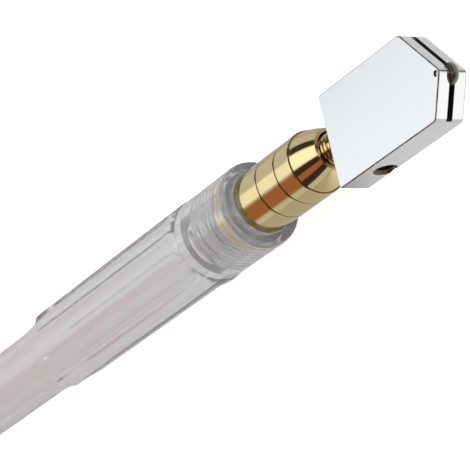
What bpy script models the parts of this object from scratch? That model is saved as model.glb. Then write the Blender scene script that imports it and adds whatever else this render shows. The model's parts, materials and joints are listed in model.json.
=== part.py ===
"""Pencil-style oil-feed glass cutter, lying on its side along +X with the cutting wheel at the +X end.

Every piece hangs on one empty, tool_axis, which sits on the tool's centre line at the head's rear face.
Stations along the tool are measured from there in millimetres, positive towards the wheel. Y and Z are
measured from the centre line, and +Z is up.
"""

import math

import bmesh
import bpy
from mathutils import Matrix

MM = 0.001

# The whole tool
TIP_STATION = 23.1
TOTAL_LENGTH = 175.0
REAR_STATION = TIP_STATION - TOTAL_LENGTH
AXIS_HEIGHT = 5.82

# Head: a flat five-sided plate with its point just off the centre line
HEAD_WIDTH = 12.0
HEAD_THICKNESS = 4.0
HEAD_LONG_SIDE = 19.64
HEAD_SHORT_SIDE = 16.95
APEX_STATION = 22.45
APEX_SIDE = -0.92
HEAD_CORNER_RADIUS = 0.45
HEAD_EDGE_BEVEL = 0.12
SLOT_WIDTH = 0.8
SLOT_FLOOR_STATION = 17.3

# Wheel and axle
WHEEL_CENTRE = (21.7, -1.06)
WHEEL_RADIUS = 1.4
WHEEL_THICKNESS = 0.7
WHEEL_BEVEL_DEPTH = 0.15
WHEEL_BORE_RADIUS = 0.41
AXLE_RADIUS = 0.35
AXLE_HOLE_RADIUS = 0.37
AXLE_LENGTH = 3.7

# Set screw in the head's -Y side, and the groove that its point runs in
SCREW_STATION = 5.85
SCREW_DROP = -0.65
SCREW_HOLE_RADIUS = 1.15
SCREW_RADIUS = 1.08
SCREW_MOUTH_RADIUS = 1.55
SCREW_MOUTH_DEPTH = 0.4
SCREW_FACE_SIDE = -4.7
SCREW_POINT_SIDE = -1.22

# Stem
STEM_RADIUS = 1.4
STEM_GUIDE_RADIUS = 1.5
STEM_BORE_RADIUS = 0.6
STEM_FRONT = 7.2
STEM_GROOVE_RADIUS = 1.1
STEM_TAIL_RADIUS = 0.85
STEM_TAIL_END = -16.6
SOCKET_RADIUS = 1.5
SOCKET_DEPTH = 7.5
OIL_WAY_RADIUS = 0.6
WICK_RADIUS = 0.45
CLIP_STATIONS = (-12.1, -12.75)
CLIP_RADIUS = 2.3

# Nose holder
NOSE_FRONT = -1.8
NOSE_RADIUS = 4.22
NOSE_THREAD_RADIUS = 3.9
NOSE_REAR = -22.0
GROOVE_STATIONS = (-8.9, -13.05)
GROOVE_WIDTH = 0.3
GROOVE_DEPTH = 0.28
SPRING_POCKET_RADIUS = 2.4
SPRING_POCKET_FLOOR = -7.0
GUIDE_BORE_RADIUS = 1.56
CHAMBER_RADIUS = 2.8
CHAMBER_FRONT = -12.0
O_RING_STATION = -9.5
O_RING_GROOVE_RADIUS = 2.15
O_RING_HALF_GROOVE = 0.5
THREAD_UNDERCUT_RADIUS = 3.55

# Return spring round the stem, and the valve behind it
STEM_SPRING_RADIUS = 1.86
STEM_SPRING_WIRE = 0.22
STEM_SPRING_TURNS = 8.5
BALL_RADIUS = 1.5
BALL_STATION = -18.15
VALVE_SPRING_RADIUS = 1.1
VALVE_SPRING_WIRE = 0.15
VALVE_SPRING_TURNS = 7
VALVE_FIT = 0.08

# Clear valve cage, pressed into the rear of the nose holder
CAGE_STATIONS = (-19.6, -28.5)
CAGE_SHOULDER = -22.05
CAGE_BORE_RADIUS = 1.65
CAGE_FLOOR = -25.0
CAGE_OUTLET_RADIUS = 0.8
CAGE_SOCKET_RADIUS = 1.3

# Clear handle
HANDLE_FRONT = -18.0
HANDLE_REAR = -144.0
COLLAR_RADIUS = 5.7
COLLAR_REAR = -30.3
COUNTERBORE_RADIUS = 4.32
HANDLE_THREAD_RADIUS = 4.0
RELIEF_RADIUS = 4.25
RESERVOIR_RADIUS = 3.3
RESERVOIR_FRONT = -29.8
GRIP_FLOOR_RADIUS = 5.55
GRIP_LAND_RADIUS = AXIS_HEIGHT
GRIP_LANDS = 5
LAND_ANGLE = math.radians(99)
LAND_HALF_WIDTH = math.radians(13)
LAND_FLANK = math.radians(6)
LAND_FRONT = -32.5
LAND_REAR = -71.5
BARREL_RADIUS = 4.8
BARREL_REAR_RADIUS = 4.7
TAPER_STATIONS = (-66.0, -78.0)

# Filler cap
CAP_FACE = -145.0
CAP_RADIUS = 4.9
CAP_FLUTE_RADIUS = 4.7
CAP_THREAD_RADIUS = 3.5
CAP_BORE_RADIUS = 3.6
CAP_PLUG_FRONT = -137.0
CAP_CAVITY_RADIUS = 2.2
CAP_CAVITY_DEPTH = 6.0
CAP_GASKET_RADIUS = 4.55
CAP_FLUTES = 20
VENT_RADIUS = 0.45

SEGMENTS = 48
FINE_SEGMENTS = 60
SMALL_SEGMENTS = 24


def clear_scene():
    for old in list(bpy.data.objects):
        bpy.data.objects.remove(old, do_unlink=True)


def material(name, colour, roughness, metallic, alpha=1.0):
    made = bpy.data.materials.new(name)
    made.use_nodes = True
    shader = made.node_tree.nodes["Principled BSDF"]
    shader.inputs["Base Color"].default_value = (*colour, 1.0)
    shader.inputs["Roughness"].default_value = roughness
    shader.inputs["Metallic"].default_value = metallic
    shader.inputs["Alpha"].default_value = alpha
    return made


def place(obj, parent, at=(0, 0, 0)):
    bpy.context.scene.collection.objects.link(obj)
    obj.parent = parent
    obj.location = [value * MM for value in at]
    return obj


def finish_mesh(bm, name, finish, parent, at=(0, 0, 0)):
    """A named object from a bmesh drawn in millimetres, shaded smooth except at its sharp edges."""
    bmesh.ops.scale(bm, vec=(MM, MM, MM), verts=bm.verts)
    bmesh.ops.remove_doubles(bm, verts=bm.verts, dist=1e-7)
    bmesh.ops.recalc_face_normals(bm, faces=bm.faces)
    mesh = bpy.data.meshes.new(name)
    bm.to_mesh(mesh)
    bm.free()
    mesh.shade_smooth()
    mesh.set_sharp_from_angle(angle=math.radians(30))
    obj = bpy.data.objects.new(name, mesh)
    if finish:
        mesh.materials.append(finish)
    return place(obj, parent, at)


def spun(profile, segments, axis=(1, 0, 0)):
    """A bmesh turned about an axis. The profile is a loop of (distance along the axis, radius).

    A profile whose ends lie on the axis makes a solid. Any other is closed into a ring.
    """
    place_point = {
        (1, 0, 0): lambda s, r: (s, 0, r),
        (0, 1, 0): lambda s, r: (0, s, r),
        (0, 0, 1): lambda s, r: (r, 0, s),
    }[axis]
    bm = bmesh.new()
    points = [bm.verts.new(place_point(s, r)) for s, r in profile]
    edges = [bm.edges.new(pair) for pair in zip(points, points[1:])]
    if profile[0][1] > 0 or profile[-1][1] > 0:
        edges.append(bm.edges.new((points[-1], points[0])))
    bmesh.ops.spin(
        bm, geom=points + edges, cent=(0, 0, 0), axis=axis, dvec=(0, 0, 0),
        angle=math.tau, steps=segments, use_merge=True,
    )
    bmesh.ops.remove_doubles(bm, verts=bm.verts, dist=1e-5)
    loose = [edge for edge in bm.edges if not edge.link_faces]
    bmesh.ops.delete(bm, geom=loose, context="EDGES")
    return bm


def turned(name, profile, finish, parent, at=(0, 0, 0), segments=SEGMENTS, axis=(1, 0, 0)):
    return finish_mesh(spun(profile, segments, axis), name, finish, parent, at)


def coil(name, radius, wire, front, rear, turns, finish, parent, steps=12):
    """A helical spring on the centre line, as a curve with a round bevel and closed ends."""
    curve = bpy.data.curves.new(name, "CURVE")
    curve.dimensions = "3D"
    curve.bevel_depth = wire * MM
    curve.bevel_resolution = 1
    curve.use_fill_caps = True
    spline = curve.splines.new("POLY")
    count = round(turns * steps) + 1
    spline.points.add(count - 1)
    for i, point in enumerate(spline.points):
        angle = math.tau * turns * i / (count - 1)
        station = front + (rear - front) * i / (count - 1)
        point.co = (station * MM, radius * MM * math.cos(angle), radius * MM * math.sin(angle), 1)
    curve.materials.append(finish)
    return place(bpy.data.objects.new(name, curve), parent)


def hide_cutter(obj):
    obj.hide_render = True
    obj.display_type = "WIRE"
    return obj


def cut(obj, cutter):
    boolean = obj.modifiers.new(cutter.name, "BOOLEAN")
    boolean.operation = "DIFFERENCE"
    boolean.solver = "EXACT"
    boolean.object = hide_cutter(cutter)


QUARTER_TURN = {
    "X": Matrix.Rotation(math.radians(90), 3, "Y"),
    "Y": Matrix.Rotation(math.radians(-90), 3, "X"),
    "Z": Matrix.Identity(3),
}


def rod(name, start, end, radius, axis, centre, parent, segments=SMALL_SEGMENTS, end_radius=None):
    """A closed cylinder or cone that runs from start to end along one axis, for cutting."""
    bm = bmesh.new()
    bmesh.ops.create_cone(
        bm, cap_ends=True, segments=segments, radius1=radius,
        radius2=radius if end_radius is None else end_radius, depth=end - start,
    )
    bmesh.ops.translate(bm, vec=(0, 0, (start + end) / 2), verts=bm.verts)
    bmesh.ops.rotate(bm, cent=(0, 0, 0), matrix=QUARTER_TURN[axis], verts=bm.verts)
    bmesh.ops.translate(bm, vec=centre, verts=bm.verts)
    return finish_mesh(bm, name, None, parent)


def plate(name, outline, low, high, finish, parent):
    """A flat plate with this outline in X and Y, between two heights."""
    bm = bmesh.new()
    face = bm.faces.new([bm.verts.new((x, y, low)) for x, y in outline])
    walls = bmesh.ops.extrude_face_region(bm, geom=[face])
    raised = [item for item in walls["geom"] if isinstance(item, bmesh.types.BMVert)]
    bmesh.ops.translate(bm, vec=(0, 0, high - low), verts=raised)
    return finish_mesh(bm, name, finish, parent)


def rounded(corners, radius, steps=3):
    """The outline through these corners, each rounded by an arc that meets its two sides."""
    outline = []
    for i, corner in enumerate(corners):
        before, after = corners[i - 1], corners[(i + 1) % len(corners)]
        a = math.atan2(before[1] - corner[1], before[0] - corner[0])
        b = math.atan2(after[1] - corner[1], after[0] - corner[0])
        half = ((b - a + math.pi) % math.tau - math.pi) / 2
        reach = radius / abs(math.sin(half))
        centre = (corner[0] + reach * math.cos(a + half), corner[1] + reach * math.sin(a + half))
        sweep = math.copysign(math.pi / 2 - abs(half), half)
        for step in range(steps + 1):
            angle = a + half + math.pi + sweep * (1 - 2 * step / steps)
            outline.append((centre[0] + radius * math.cos(angle), centre[1] + radius * math.sin(angle)))
    return outline


def make_head(parent, chrome):
    half = HEAD_WIDTH / 2
    corners = [
        (0, half),
        (0, -half),
        (HEAD_LONG_SIDE, -half),
        (APEX_STATION, APEX_SIDE),
        (HEAD_SHORT_SIDE, half),
    ]
    thick = HEAD_THICKNESS / 2
    head = plate("head_body", rounded(corners, HEAD_CORNER_RADIUS), -thick, thick, chrome, parent)
    bevel = head.modifiers.new("edge", "BEVEL")
    bevel.width = HEAD_EDGE_BEVEL * MM
    bevel.segments = 1
    bevel.limit_method = "ANGLE"
    bevel.angle_limit = math.radians(60)

    slot_outline = [
        (HEAD_LONG_SIDE + 0.15, -half - 1),
        (TIP_STATION + 2, -half - 1),
        (TIP_STATION + 2, half + 1),
        (HEAD_SHORT_SIDE + 0.15, half + 1),
        (HEAD_SHORT_SIDE + 0.15, half - 0.35),
        (SLOT_FLOOR_STATION, 0),
        (HEAD_LONG_SIDE - 0.25, -half + 0.35),
    ]
    cut(head, plate("slot_cutter", slot_outline, -SLOT_WIDTH / 2, SLOT_WIDTH / 2, None, parent))
    cut(head, rod("axle_hole_cutter", -4, 4, AXLE_HOLE_RADIUS, "Z", (*WHEEL_CENTRE, 0), parent, 16))
    cut(head, rod("socket_cutter", -1, SOCKET_DEPTH, SOCKET_RADIUS, "X", (0, 0, 0), parent))
    cut(head, rod("oil_way_cutter", SOCKET_DEPTH - 0.5, SLOT_FLOOR_STATION + 0.5, OIL_WAY_RADIUS, "X",
                  (0, 0, 0), parent, 12))
    screw_centre = (SCREW_STATION, 0, SCREW_DROP)
    cut(head, rod("screw_hole_cutter", -half - 1, 0, SCREW_HOLE_RADIUS, "Y", screw_centre, parent))
    mouth = rod("screw_mouth_cutter", -half - 0.6, -half + SCREW_MOUTH_DEPTH,
                SCREW_MOUTH_RADIUS + 0.6, "Y", screw_centre, parent, end_radius=SCREW_HOLE_RADIUS)
    cut(head, mouth)
    return head


def make_wheel(parent, carbide, steel):
    rim = WHEEL_RADIUS - WHEEL_BEVEL_DEPTH
    thick = WHEEL_THICKNESS / 2
    profile = [
        (thick, WHEEL_BORE_RADIUS),
        (thick, rim),
        (0, WHEEL_RADIUS),
        (-thick, rim),
        (-thick, WHEEL_BORE_RADIUS),
    ]
    turned("cutting_wheel", profile, carbide, parent, (*WHEEL_CENTRE, 0), SEGMENTS, (0, 0, 1))
    end = AXLE_LENGTH / 2
    bevel = 0.06
    axle = [
        (end, 0),
        (end, AXLE_RADIUS - bevel),
        (end - bevel, AXLE_RADIUS),
        (bevel - end, AXLE_RADIUS),
        (-end, AXLE_RADIUS - bevel),
        (-end, 0),
    ]
    turned("wheel_axle", axle, steel, parent, (*WHEEL_CENTRE, 0), 16, (0, 0, 1))


def make_set_screw(parent, steel):
    face, point = SCREW_FACE_SIDE, SCREW_POINT_SIDE
    profile = [
        (face, 0),
        (face, SCREW_RADIUS - 0.12),
        (face + 0.12, SCREW_RADIUS),
        (point - 0.9, SCREW_RADIUS),
        (point - 0.4, 0.45),
        (point, 0.45),
        (point, 0),
    ]
    screw = turned("head_set_screw", profile, steel, parent, (SCREW_STATION, 0, SCREW_DROP), 24, (0, 1, 0))
    socket = rod("screw_socket_cutter", face - 1, face + 1.1, 0.55, "Y",
                 (SCREW_STATION, 0, SCREW_DROP), parent, 6)
    cut(screw, socket)


def make_stem(parent, brass, steel, cotton):
    groove = (SCREW_STATION - 0.65, SCREW_STATION + 0.65)
    clip = CLIP_STATIONS
    profile = [
        (STEM_FRONT, STEM_BORE_RADIUS),
        (STEM_FRONT, STEM_RADIUS - 0.1),
        (STEM_FRONT - 0.1, STEM_RADIUS),
        (groove[1], STEM_RADIUS),
        (groove[1], STEM_GROOVE_RADIUS),
        (groove[0], STEM_GROOVE_RADIUS),
        (groove[0], STEM_RADIUS),
        (SPRING_POCKET_FLOOR + 0.4, STEM_RADIUS),
        (SPRING_POCKET_FLOOR + 0.3, STEM_GUIDE_RADIUS),
        (clip[0], STEM_GUIDE_RADIUS),
        (clip[0], STEM_GROOVE_RADIUS),
        (clip[1], STEM_GROOVE_RADIUS),
        (clip[1], STEM_GUIDE_RADIUS),
        (clip[1] - 1.5, STEM_GUIDE_RADIUS),
        (clip[1] - 1.8, STEM_TAIL_RADIUS),
        (STEM_TAIL_END, STEM_TAIL_RADIUS),
        (STEM_TAIL_END, 0),
        (clip[1] - 1.6, 0),
        (clip[1] - 1.2, STEM_BORE_RADIUS),
    ]
    stem = turned("stem", profile, brass, parent, segments=SMALL_SEGMENTS)
    cut(stem, rod("cross_hole_cutter", -3, 3, 0.35, "Y", (clip[1] - 0.8, 0, 0), parent, 12))
    clip_profile = [
        (clip[0] - 0.06, STEM_GROOVE_RADIUS + 0.06),
        (clip[0] - 0.06, CLIP_RADIUS),
        (clip[1] + 0.06, CLIP_RADIUS),
        (clip[1] + 0.06, STEM_GROOVE_RADIUS + 0.06),
    ]
    turned("stem_clip", clip_profile, steel, parent, segments=SMALL_SEGMENTS)
    wick = [
        (SLOT_FLOOR_STATION - 0.4, 0),
        (SLOT_FLOOR_STATION - 0.6, WICK_RADIUS),
        (clip[1] - 0.3, WICK_RADIUS),
        (clip[1] - 0.3, 0),
    ]
    turned("wick", wick, cotton, parent, segments=12)


def make_nose(parent, brass, steel, rubber, silicone):
    lip_radius, dome_radius, dome_rear = 2.84, 4.02, -5.66
    outer = [(NOSE_FRONT, SPRING_POCKET_RADIUS), (NOSE_FRONT, lip_radius - 0.16)]
    for step in range(6):
        share = step / 5
        dome = lip_radius + (dome_radius - lip_radius) * math.sin(share * math.pi / 2) ** 0.9
        outer.append((NOSE_FRONT - 0.2 + (dome_rear - NOSE_FRONT + 0.2) * share, dome))
    outer += [(dome_rear - 0.14, NOSE_RADIUS - 0.02), (dome_rear - 0.29, NOSE_RADIUS)]
    for station in GROOVE_STATIONS:
        front, rear = station + GROOVE_WIDTH / 2, station - GROOVE_WIDTH / 2
        outer += [(front, NOSE_RADIUS), (station, NOSE_RADIUS - GROOVE_DEPTH), (rear, NOSE_RADIUS)]
    shoulder = HANDLE_FRONT - 0.8
    outer += [
        (shoulder, NOSE_RADIUS),
        (shoulder, THREAD_UNDERCUT_RADIUS),
        (shoulder - 1.0, THREAD_UNDERCUT_RADIUS),
        (shoulder - 1.3, NOSE_THREAD_RADIUS),
        (NOSE_REAR + 0.3, NOSE_THREAD_RADIUS),
        (NOSE_REAR, 3.6),
    ]
    inner = [
        (NOSE_REAR, CHAMBER_RADIUS),
        (CHAMBER_FRONT, CHAMBER_RADIUS),
        (CHAMBER_FRONT, GUIDE_BORE_RADIUS),
        (O_RING_STATION - O_RING_HALF_GROOVE, GUIDE_BORE_RADIUS),
        (O_RING_STATION - O_RING_HALF_GROOVE, O_RING_GROOVE_RADIUS),
        (O_RING_STATION + O_RING_HALF_GROOVE, O_RING_GROOVE_RADIUS),
        (O_RING_STATION + O_RING_HALF_GROOVE, GUIDE_BORE_RADIUS),
        (SPRING_POCKET_FLOOR, GUIDE_BORE_RADIUS),
        (SPRING_POCKET_FLOOR, SPRING_POCKET_RADIUS),
    ]
    turned("nose_holder", outer + inner, brass, parent)

    turned("stem_o_ring", ring_section(O_RING_STATION, 1.84, 0.26), rubber, parent, segments=SMALL_SEGMENTS)
    turned("nose_gasket", ring_section(shoulder - 0.42, 3.9, 0.3), silicone, parent, segments=36)
    washer = [
        (SPRING_POCKET_FLOOR + 0.05, STEM_GUIDE_RADIUS + 0.08),
        (SPRING_POCKET_FLOOR + 0.05, SPRING_POCKET_RADIUS - 0.1),
        (SPRING_POCKET_FLOOR + 0.3, SPRING_POCKET_RADIUS - 0.1),
        (SPRING_POCKET_FLOOR + 0.3, STEM_GUIDE_RADIUS + 0.08),
    ]
    turned("spring_washer", washer, steel, parent, segments=SMALL_SEGMENTS)
    coil("stem_spring", STEM_SPRING_RADIUS, STEM_SPRING_WIRE, -STEM_SPRING_WIRE - 0.06,
         SPRING_POCKET_FLOOR + 0.35 + STEM_SPRING_WIRE, STEM_SPRING_TURNS, brass, parent)


def ring_section(station, radius, wire, sides=8):
    """A round O-ring section in a turned profile."""
    points = []
    for i in range(sides):
        angle = math.tau * (i + 0.5) / sides
        points.append((station + wire * math.cos(angle), radius + wire * math.sin(angle)))
    return points


def make_valve(parent, seat_plastic, steel, clear):
    rear = BALL_STATION + 0.95
    seat = [
        (CHAMBER_FRONT - 3.7, 1.2),
        (CHAMBER_FRONT - 3.7, CHAMBER_RADIUS - VALVE_FIT),
        (rear, CHAMBER_RADIUS - VALVE_FIT),
        (rear, 1.45),
        (rear + 0.25, 1.2),
    ]
    turned("valve_seat", seat, seat_plastic, parent, segments=36)
    ball = bmesh.new()
    bmesh.ops.create_uvsphere(ball, u_segments=24, v_segments=12, radius=BALL_RADIUS)
    finish_mesh(ball, "valve_ball", steel, parent, (BALL_STATION, 0, 0))
    coil("valve_spring", VALVE_SPRING_RADIUS, VALVE_SPRING_WIRE, BALL_STATION - 1.25,
         CAGE_FLOOR + 0.05 + VALVE_SPRING_WIRE, VALVE_SPRING_TURNS, steel, parent, 10)
    front, rear = CAGE_STATIONS
    spigot = CHAMBER_RADIUS - VALVE_FIT
    cage = [
        (front, CAGE_BORE_RADIUS),
        (front, spigot - 0.2),
        (front - 0.2, spigot),
        (CAGE_SHOULDER, spigot),
        (CAGE_SHOULDER, 3.6),
        (CAGE_SHOULDER - 0.3, NOSE_THREAD_RADIUS),
        (rear + 1.1, NOSE_THREAD_RADIUS),
        (rear + 0.7, 3.4),
        (rear, 3.3),
        (rear, CAGE_SOCKET_RADIUS),
        (rear + 1.8, CAGE_SOCKET_RADIUS),
        (rear + 2.0, CAGE_OUTLET_RADIUS),
        (CAGE_FLOOR, CAGE_OUTLET_RADIUS),
        (CAGE_FLOOR, CAGE_BORE_RADIUS),
    ]
    turned("valve_cage", cage, clear, parent, segments=48)


def land_lift(station, angle):
    """How far the grip's surface stands above its flutes: 1 on a land, 0 in a flute or beyond the grip."""
    pitch = math.tau / GRIP_LANDS
    from_land = abs((angle - LAND_ANGLE + pitch / 2) % pitch - pitch / 2)
    if station > LAND_FRONT:
        return 1.0
    if station < LAND_REAR:
        return 0.0
    return min(1.0, max(0.0, 1.0 - (from_land - LAND_HALF_WIDTH) / LAND_FLANK))


def barrel_radius(station):
    """The round surface under the lands: grip floor, then a smooth taper into the barrel."""
    taper_front, taper_rear = TAPER_STATIONS
    if station >= taper_front:
        return GRIP_FLOOR_RADIUS
    if station >= taper_rear:
        share = (taper_front - station) / (taper_front - taper_rear)
        smooth = share * share * (3 - 2 * share)
        return GRIP_FLOOR_RADIUS + (BARREL_RADIUS - GRIP_FLOOR_RADIUS) * smooth
    share = (taper_rear - station) / (taper_rear - HANDLE_REAR)
    return BARREL_RADIUS + (BARREL_REAR_RADIUS - BARREL_RADIUS) * share


def make_handle(parent, clear):
    """A clear tube whose grip stations carry lands and flutes, shaped after the turning."""
    outer = [
        (HANDLE_FRONT, COUNTERBORE_RADIUS),
        (HANDLE_FRONT - 0.25, 5.15),
        (HANDLE_FRONT - 0.5, 5.5),
        (HANDLE_FRONT - 1.2, COLLAR_RADIUS),
        (COLLAR_REAR, COLLAR_RADIUS - 0.05),
        (COLLAR_REAR - 0.15, COLLAR_RADIUS - 0.12),
        (COLLAR_REAR - 0.45, GRIP_LAND_RADIUS - 0.05),
    ]
    taper_front, taper_rear = TAPER_STATIONS
    rings = [LAND_FRONT + 0.01, LAND_FRONT - 0.8, -44.0, -56.0, taper_front, -69.0, LAND_REAR]
    rings += [LAND_REAR - 0.6, -74.0, -76.0, taper_rear, -111.0, HANDLE_REAR]
    outer += [(station, barrel_radius(station)) for station in rings]
    thread_front, thread_rear = HANDLE_FRONT - 1.7, -27.5
    inner = [
        (HANDLE_REAR, CAP_BORE_RADIUS),
        (HANDLE_REAR + 8.2, CAP_BORE_RADIUS),
        (HANDLE_REAR + 8.6, RESERVOIR_RADIUS),
        (RESERVOIR_FRONT, RESERVOIR_RADIUS),
        (RESERVOIR_FRONT + 0.1, RELIEF_RADIUS),
        (thread_rear - 0.3, RELIEF_RADIUS),
        (thread_rear, HANDLE_THREAD_RADIUS),
        (thread_front, HANDLE_THREAD_RADIUS),
        (thread_front + 0.1, COUNTERBORE_RADIUS),
    ]
    bm = spun(outer + inner, FINE_SEGMENTS)
    for vert in bm.verts:
        station, radius = vert.co.x, math.hypot(vert.co.y, vert.co.z)
        if LAND_FRONT + 0.02 >= station >= LAND_REAR and radius > RESERVOIR_RADIUS + 0.5:
            lift = land_lift(station, math.atan2(vert.co.z, vert.co.y))
            grown = radius + (GRIP_LAND_RADIUS - radius) * lift
            vert.co.y *= grown / radius
            vert.co.z *= grown / radius
    finish_mesh(bm, "handle", clear, parent)


def make_cap(parent, red, rubber):
    rear = REAR_STATION
    floor = CAP_PLUG_FRONT - CAP_CAVITY_DEPTH
    profile = [
        (CAP_PLUG_FRONT, CAP_CAVITY_RADIUS),
        (CAP_PLUG_FRONT, CAP_THREAD_RADIUS - 0.3),
        (CAP_PLUG_FRONT - 0.3, CAP_THREAD_RADIUS),
        (CAP_FACE, CAP_THREAD_RADIUS),
        (CAP_FACE, CAP_RADIUS - 0.2),
        (CAP_FACE - 0.2, CAP_RADIUS),
        (rear + 0.7, CAP_RADIUS),
        (rear + 0.2, CAP_RADIUS - 0.5),
        (rear, CAP_RADIUS - 1.0),
        (rear, VENT_RADIUS),
        (floor, VENT_RADIUS),
        (floor, CAP_CAVITY_RADIUS),
    ]
    bm = spun(profile, 2 * CAP_FLUTES)
    for vert in bm.verts:
        radius = math.hypot(vert.co.y, vert.co.z)
        step = round(math.atan2(vert.co.z, vert.co.y) / math.tau * 2 * CAP_FLUTES)
        if vert.co.x < CAP_FACE - 0.1 and radius > CAP_RADIUS - 0.1 and step % 2:
            vert.co.y *= CAP_FLUTE_RADIUS / radius
            vert.co.z *= CAP_FLUTE_RADIUS / radius
    finish_mesh(bm, "filler_cap", red, parent)
    gasket = [
        (HANDLE_REAR - 0.05, CAP_THREAD_RADIUS + 0.08),
        (HANDLE_REAR - 0.05, CAP_GASKET_RADIUS),
        (CAP_FACE + 0.05, CAP_GASKET_RADIUS),
        (CAP_FACE + 0.05, CAP_THREAD_RADIUS + 0.08),
    ]
    turned("cap_gasket", gasket, rubber, parent, segments=36)
    valve = [(floor + 0.75, 0), (floor + 0.6, 1.1), (floor + 0.05, 1.3), (floor + 0.05, VENT_RADIUS - 0.1)]
    valve += [(floor - 4, VENT_RADIUS - 0.1), (floor - 4, 0)]
    turned("vent_valve", valve, rubber, parent, segments=16)


def main():
    clear_scene()
    axis = bpy.data.objects.new("tool_axis", None)
    bpy.context.scene.collection.objects.link(axis)
    axis.location = ((TOTAL_LENGTH / 2 - TIP_STATION) * MM, 0, AXIS_HEIGHT * MM)

    chrome = material("chrome_plate", (0.86, 0.87, 0.88), 0.06, 1.0)
    carbide = material("tungsten_carbide", (0.35, 0.34, 0.33), 0.25, 1.0)
    steel = material("bright_steel", (0.62, 0.61, 0.6), 0.25, 1.0)
    brass = material("polished_brass", (0.83, 0.66, 0.36), 0.12, 1.0)
    clear = material("clear_plastic", (0.93, 0.94, 0.95), 0.05, 0.0, 0.35)
    red = material("red_plastic", (0.62, 0.05, 0.05), 0.3, 0.0)
    seat_plastic = material("white_plastic", (0.88, 0.87, 0.84), 0.4, 0.0)
    rubber = material("black_rubber", (0.03, 0.03, 0.03), 0.7, 0.0)
    silicone = material("clear_silicone", (0.85, 0.86, 0.87), 0.35, 0.0, 0.6)
    cotton = material("cotton", (0.9, 0.88, 0.82), 0.95, 0.0)

    make_head(axis, chrome)
    make_wheel(axis, carbide, steel)
    make_set_screw(axis, steel)
    make_stem(axis, brass, steel, cotton)
    make_nose(axis, brass, steel, rubber, silicone)
    make_valve(axis, seat_plastic, steel, clear)
    make_handle(axis, clear)
    make_cap(axis, red, rubber)


main()
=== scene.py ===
# %% [markdown]
# # A pencil-style oil-feed glass cutter
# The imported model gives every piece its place. This script makes the surfaces that are seen. It models each
# visible piece again with finer shapes, such as fillets, threads and a round spring, and paints every piece
# with a procedural finish. Sizes are in millimetres and become metres as they are used.

# %% The frame
import json
import math

import bmesh
import bpy
from mathutils import Matrix, Vector

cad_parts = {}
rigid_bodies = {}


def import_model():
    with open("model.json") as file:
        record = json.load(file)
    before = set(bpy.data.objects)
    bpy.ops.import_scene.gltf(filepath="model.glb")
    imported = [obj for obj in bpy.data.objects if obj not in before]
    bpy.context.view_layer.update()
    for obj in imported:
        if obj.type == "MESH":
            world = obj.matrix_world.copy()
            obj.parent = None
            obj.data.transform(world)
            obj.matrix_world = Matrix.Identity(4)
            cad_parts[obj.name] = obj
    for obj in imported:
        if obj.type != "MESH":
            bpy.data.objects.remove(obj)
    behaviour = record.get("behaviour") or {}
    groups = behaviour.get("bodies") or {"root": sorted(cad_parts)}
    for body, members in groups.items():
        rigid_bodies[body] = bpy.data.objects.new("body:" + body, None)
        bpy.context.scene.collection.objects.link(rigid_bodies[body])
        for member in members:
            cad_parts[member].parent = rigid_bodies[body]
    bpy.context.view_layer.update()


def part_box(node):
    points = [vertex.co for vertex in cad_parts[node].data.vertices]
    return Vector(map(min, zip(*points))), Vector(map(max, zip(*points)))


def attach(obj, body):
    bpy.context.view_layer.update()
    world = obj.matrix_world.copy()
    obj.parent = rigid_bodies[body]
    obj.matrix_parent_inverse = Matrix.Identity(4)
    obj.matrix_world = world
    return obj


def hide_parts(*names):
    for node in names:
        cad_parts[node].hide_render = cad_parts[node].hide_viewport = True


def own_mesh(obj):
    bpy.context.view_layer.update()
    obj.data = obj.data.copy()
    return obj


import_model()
MM = 0.001

# %% [markdown]
# ## The tool's own measure
# The handle, the nose and the stem are all turned about one centre line, so places are easiest to give as
# stations. A station is a number of millimetres along that line from the head's rear face, positive towards
# the wheel. The head's box gives the zero, and the nose holder's box gives the line's height.

# %% Stations
HEAD_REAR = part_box("head_body")[0].x
AXIS_HEIGHT = (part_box("nose_holder")[0].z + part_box("nose_holder")[1].z) / 2


def on_axis(station, y=0.0, z=0.0):
    """A point in metres from a station and two offsets from the centre line in millimetres."""
    return Vector((HEAD_REAR + station * MM, y * MM, AXIS_HEIGHT + z * MM))


def station_of(x):
    return (x - HEAD_REAR) / MM


print("centre line", round(AXIS_HEIGHT / MM, 2), "mm up; head's rear face at", round(HEAD_REAR / MM, 2))

# %% [markdown]
# ## Working by hand in code
# Operators act on whatever is selected, so each shape starts from an empty selection. These helpers add a
# primitive, pick faces or edges by where they lie, and close the work by applying place and turn to the mesh.

# %% Selection helpers
ops = bpy.ops


def deselect():
    if bpy.context.object and bpy.context.object.mode != "OBJECT":
        ops.object.mode_set(mode="OBJECT")
    ops.object.select_all(action="DESELECT")


def activate(obj):
    deselect()
    obj.select_set(True)
    bpy.context.view_layer.objects.active = obj
    return obj


def settle(name):
    """Names the primitive just added, and moves its place and turn into its mesh."""
    obj = bpy.context.object
    obj.name = obj.data.name = name
    ops.object.transform_apply(location=True, rotation=True, scale=True)
    return obj


def pick(obj, kind, test):
    """Enters edit mode with just the faces, edges or vertices chosen that pass the test."""
    activate(obj)
    ops.object.mode_set(mode="EDIT")
    ops.mesh.select_mode(type={"faces": "FACE", "edges": "EDGE", "verts": "VERT"}[kind])
    ops.mesh.select_all(action="DESELECT")
    shape = bmesh.from_edit_mesh(obj.data)
    chosen = [item for item in getattr(shape, kind) if test(item)]
    for item in chosen:
        item.select_set(True)
    shape.select_flush_mode()
    bmesh.update_edit_mesh(obj.data)
    return len(chosen)


def apply_modifier(obj, kind, **settings):
    activate(obj)
    modifier = obj.modifiers.new(kind.lower(), kind)
    for key, value in settings.items():
        setattr(modifier, key, value)
    ops.object.modifier_apply(modifier=modifier.name)
    return obj


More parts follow.
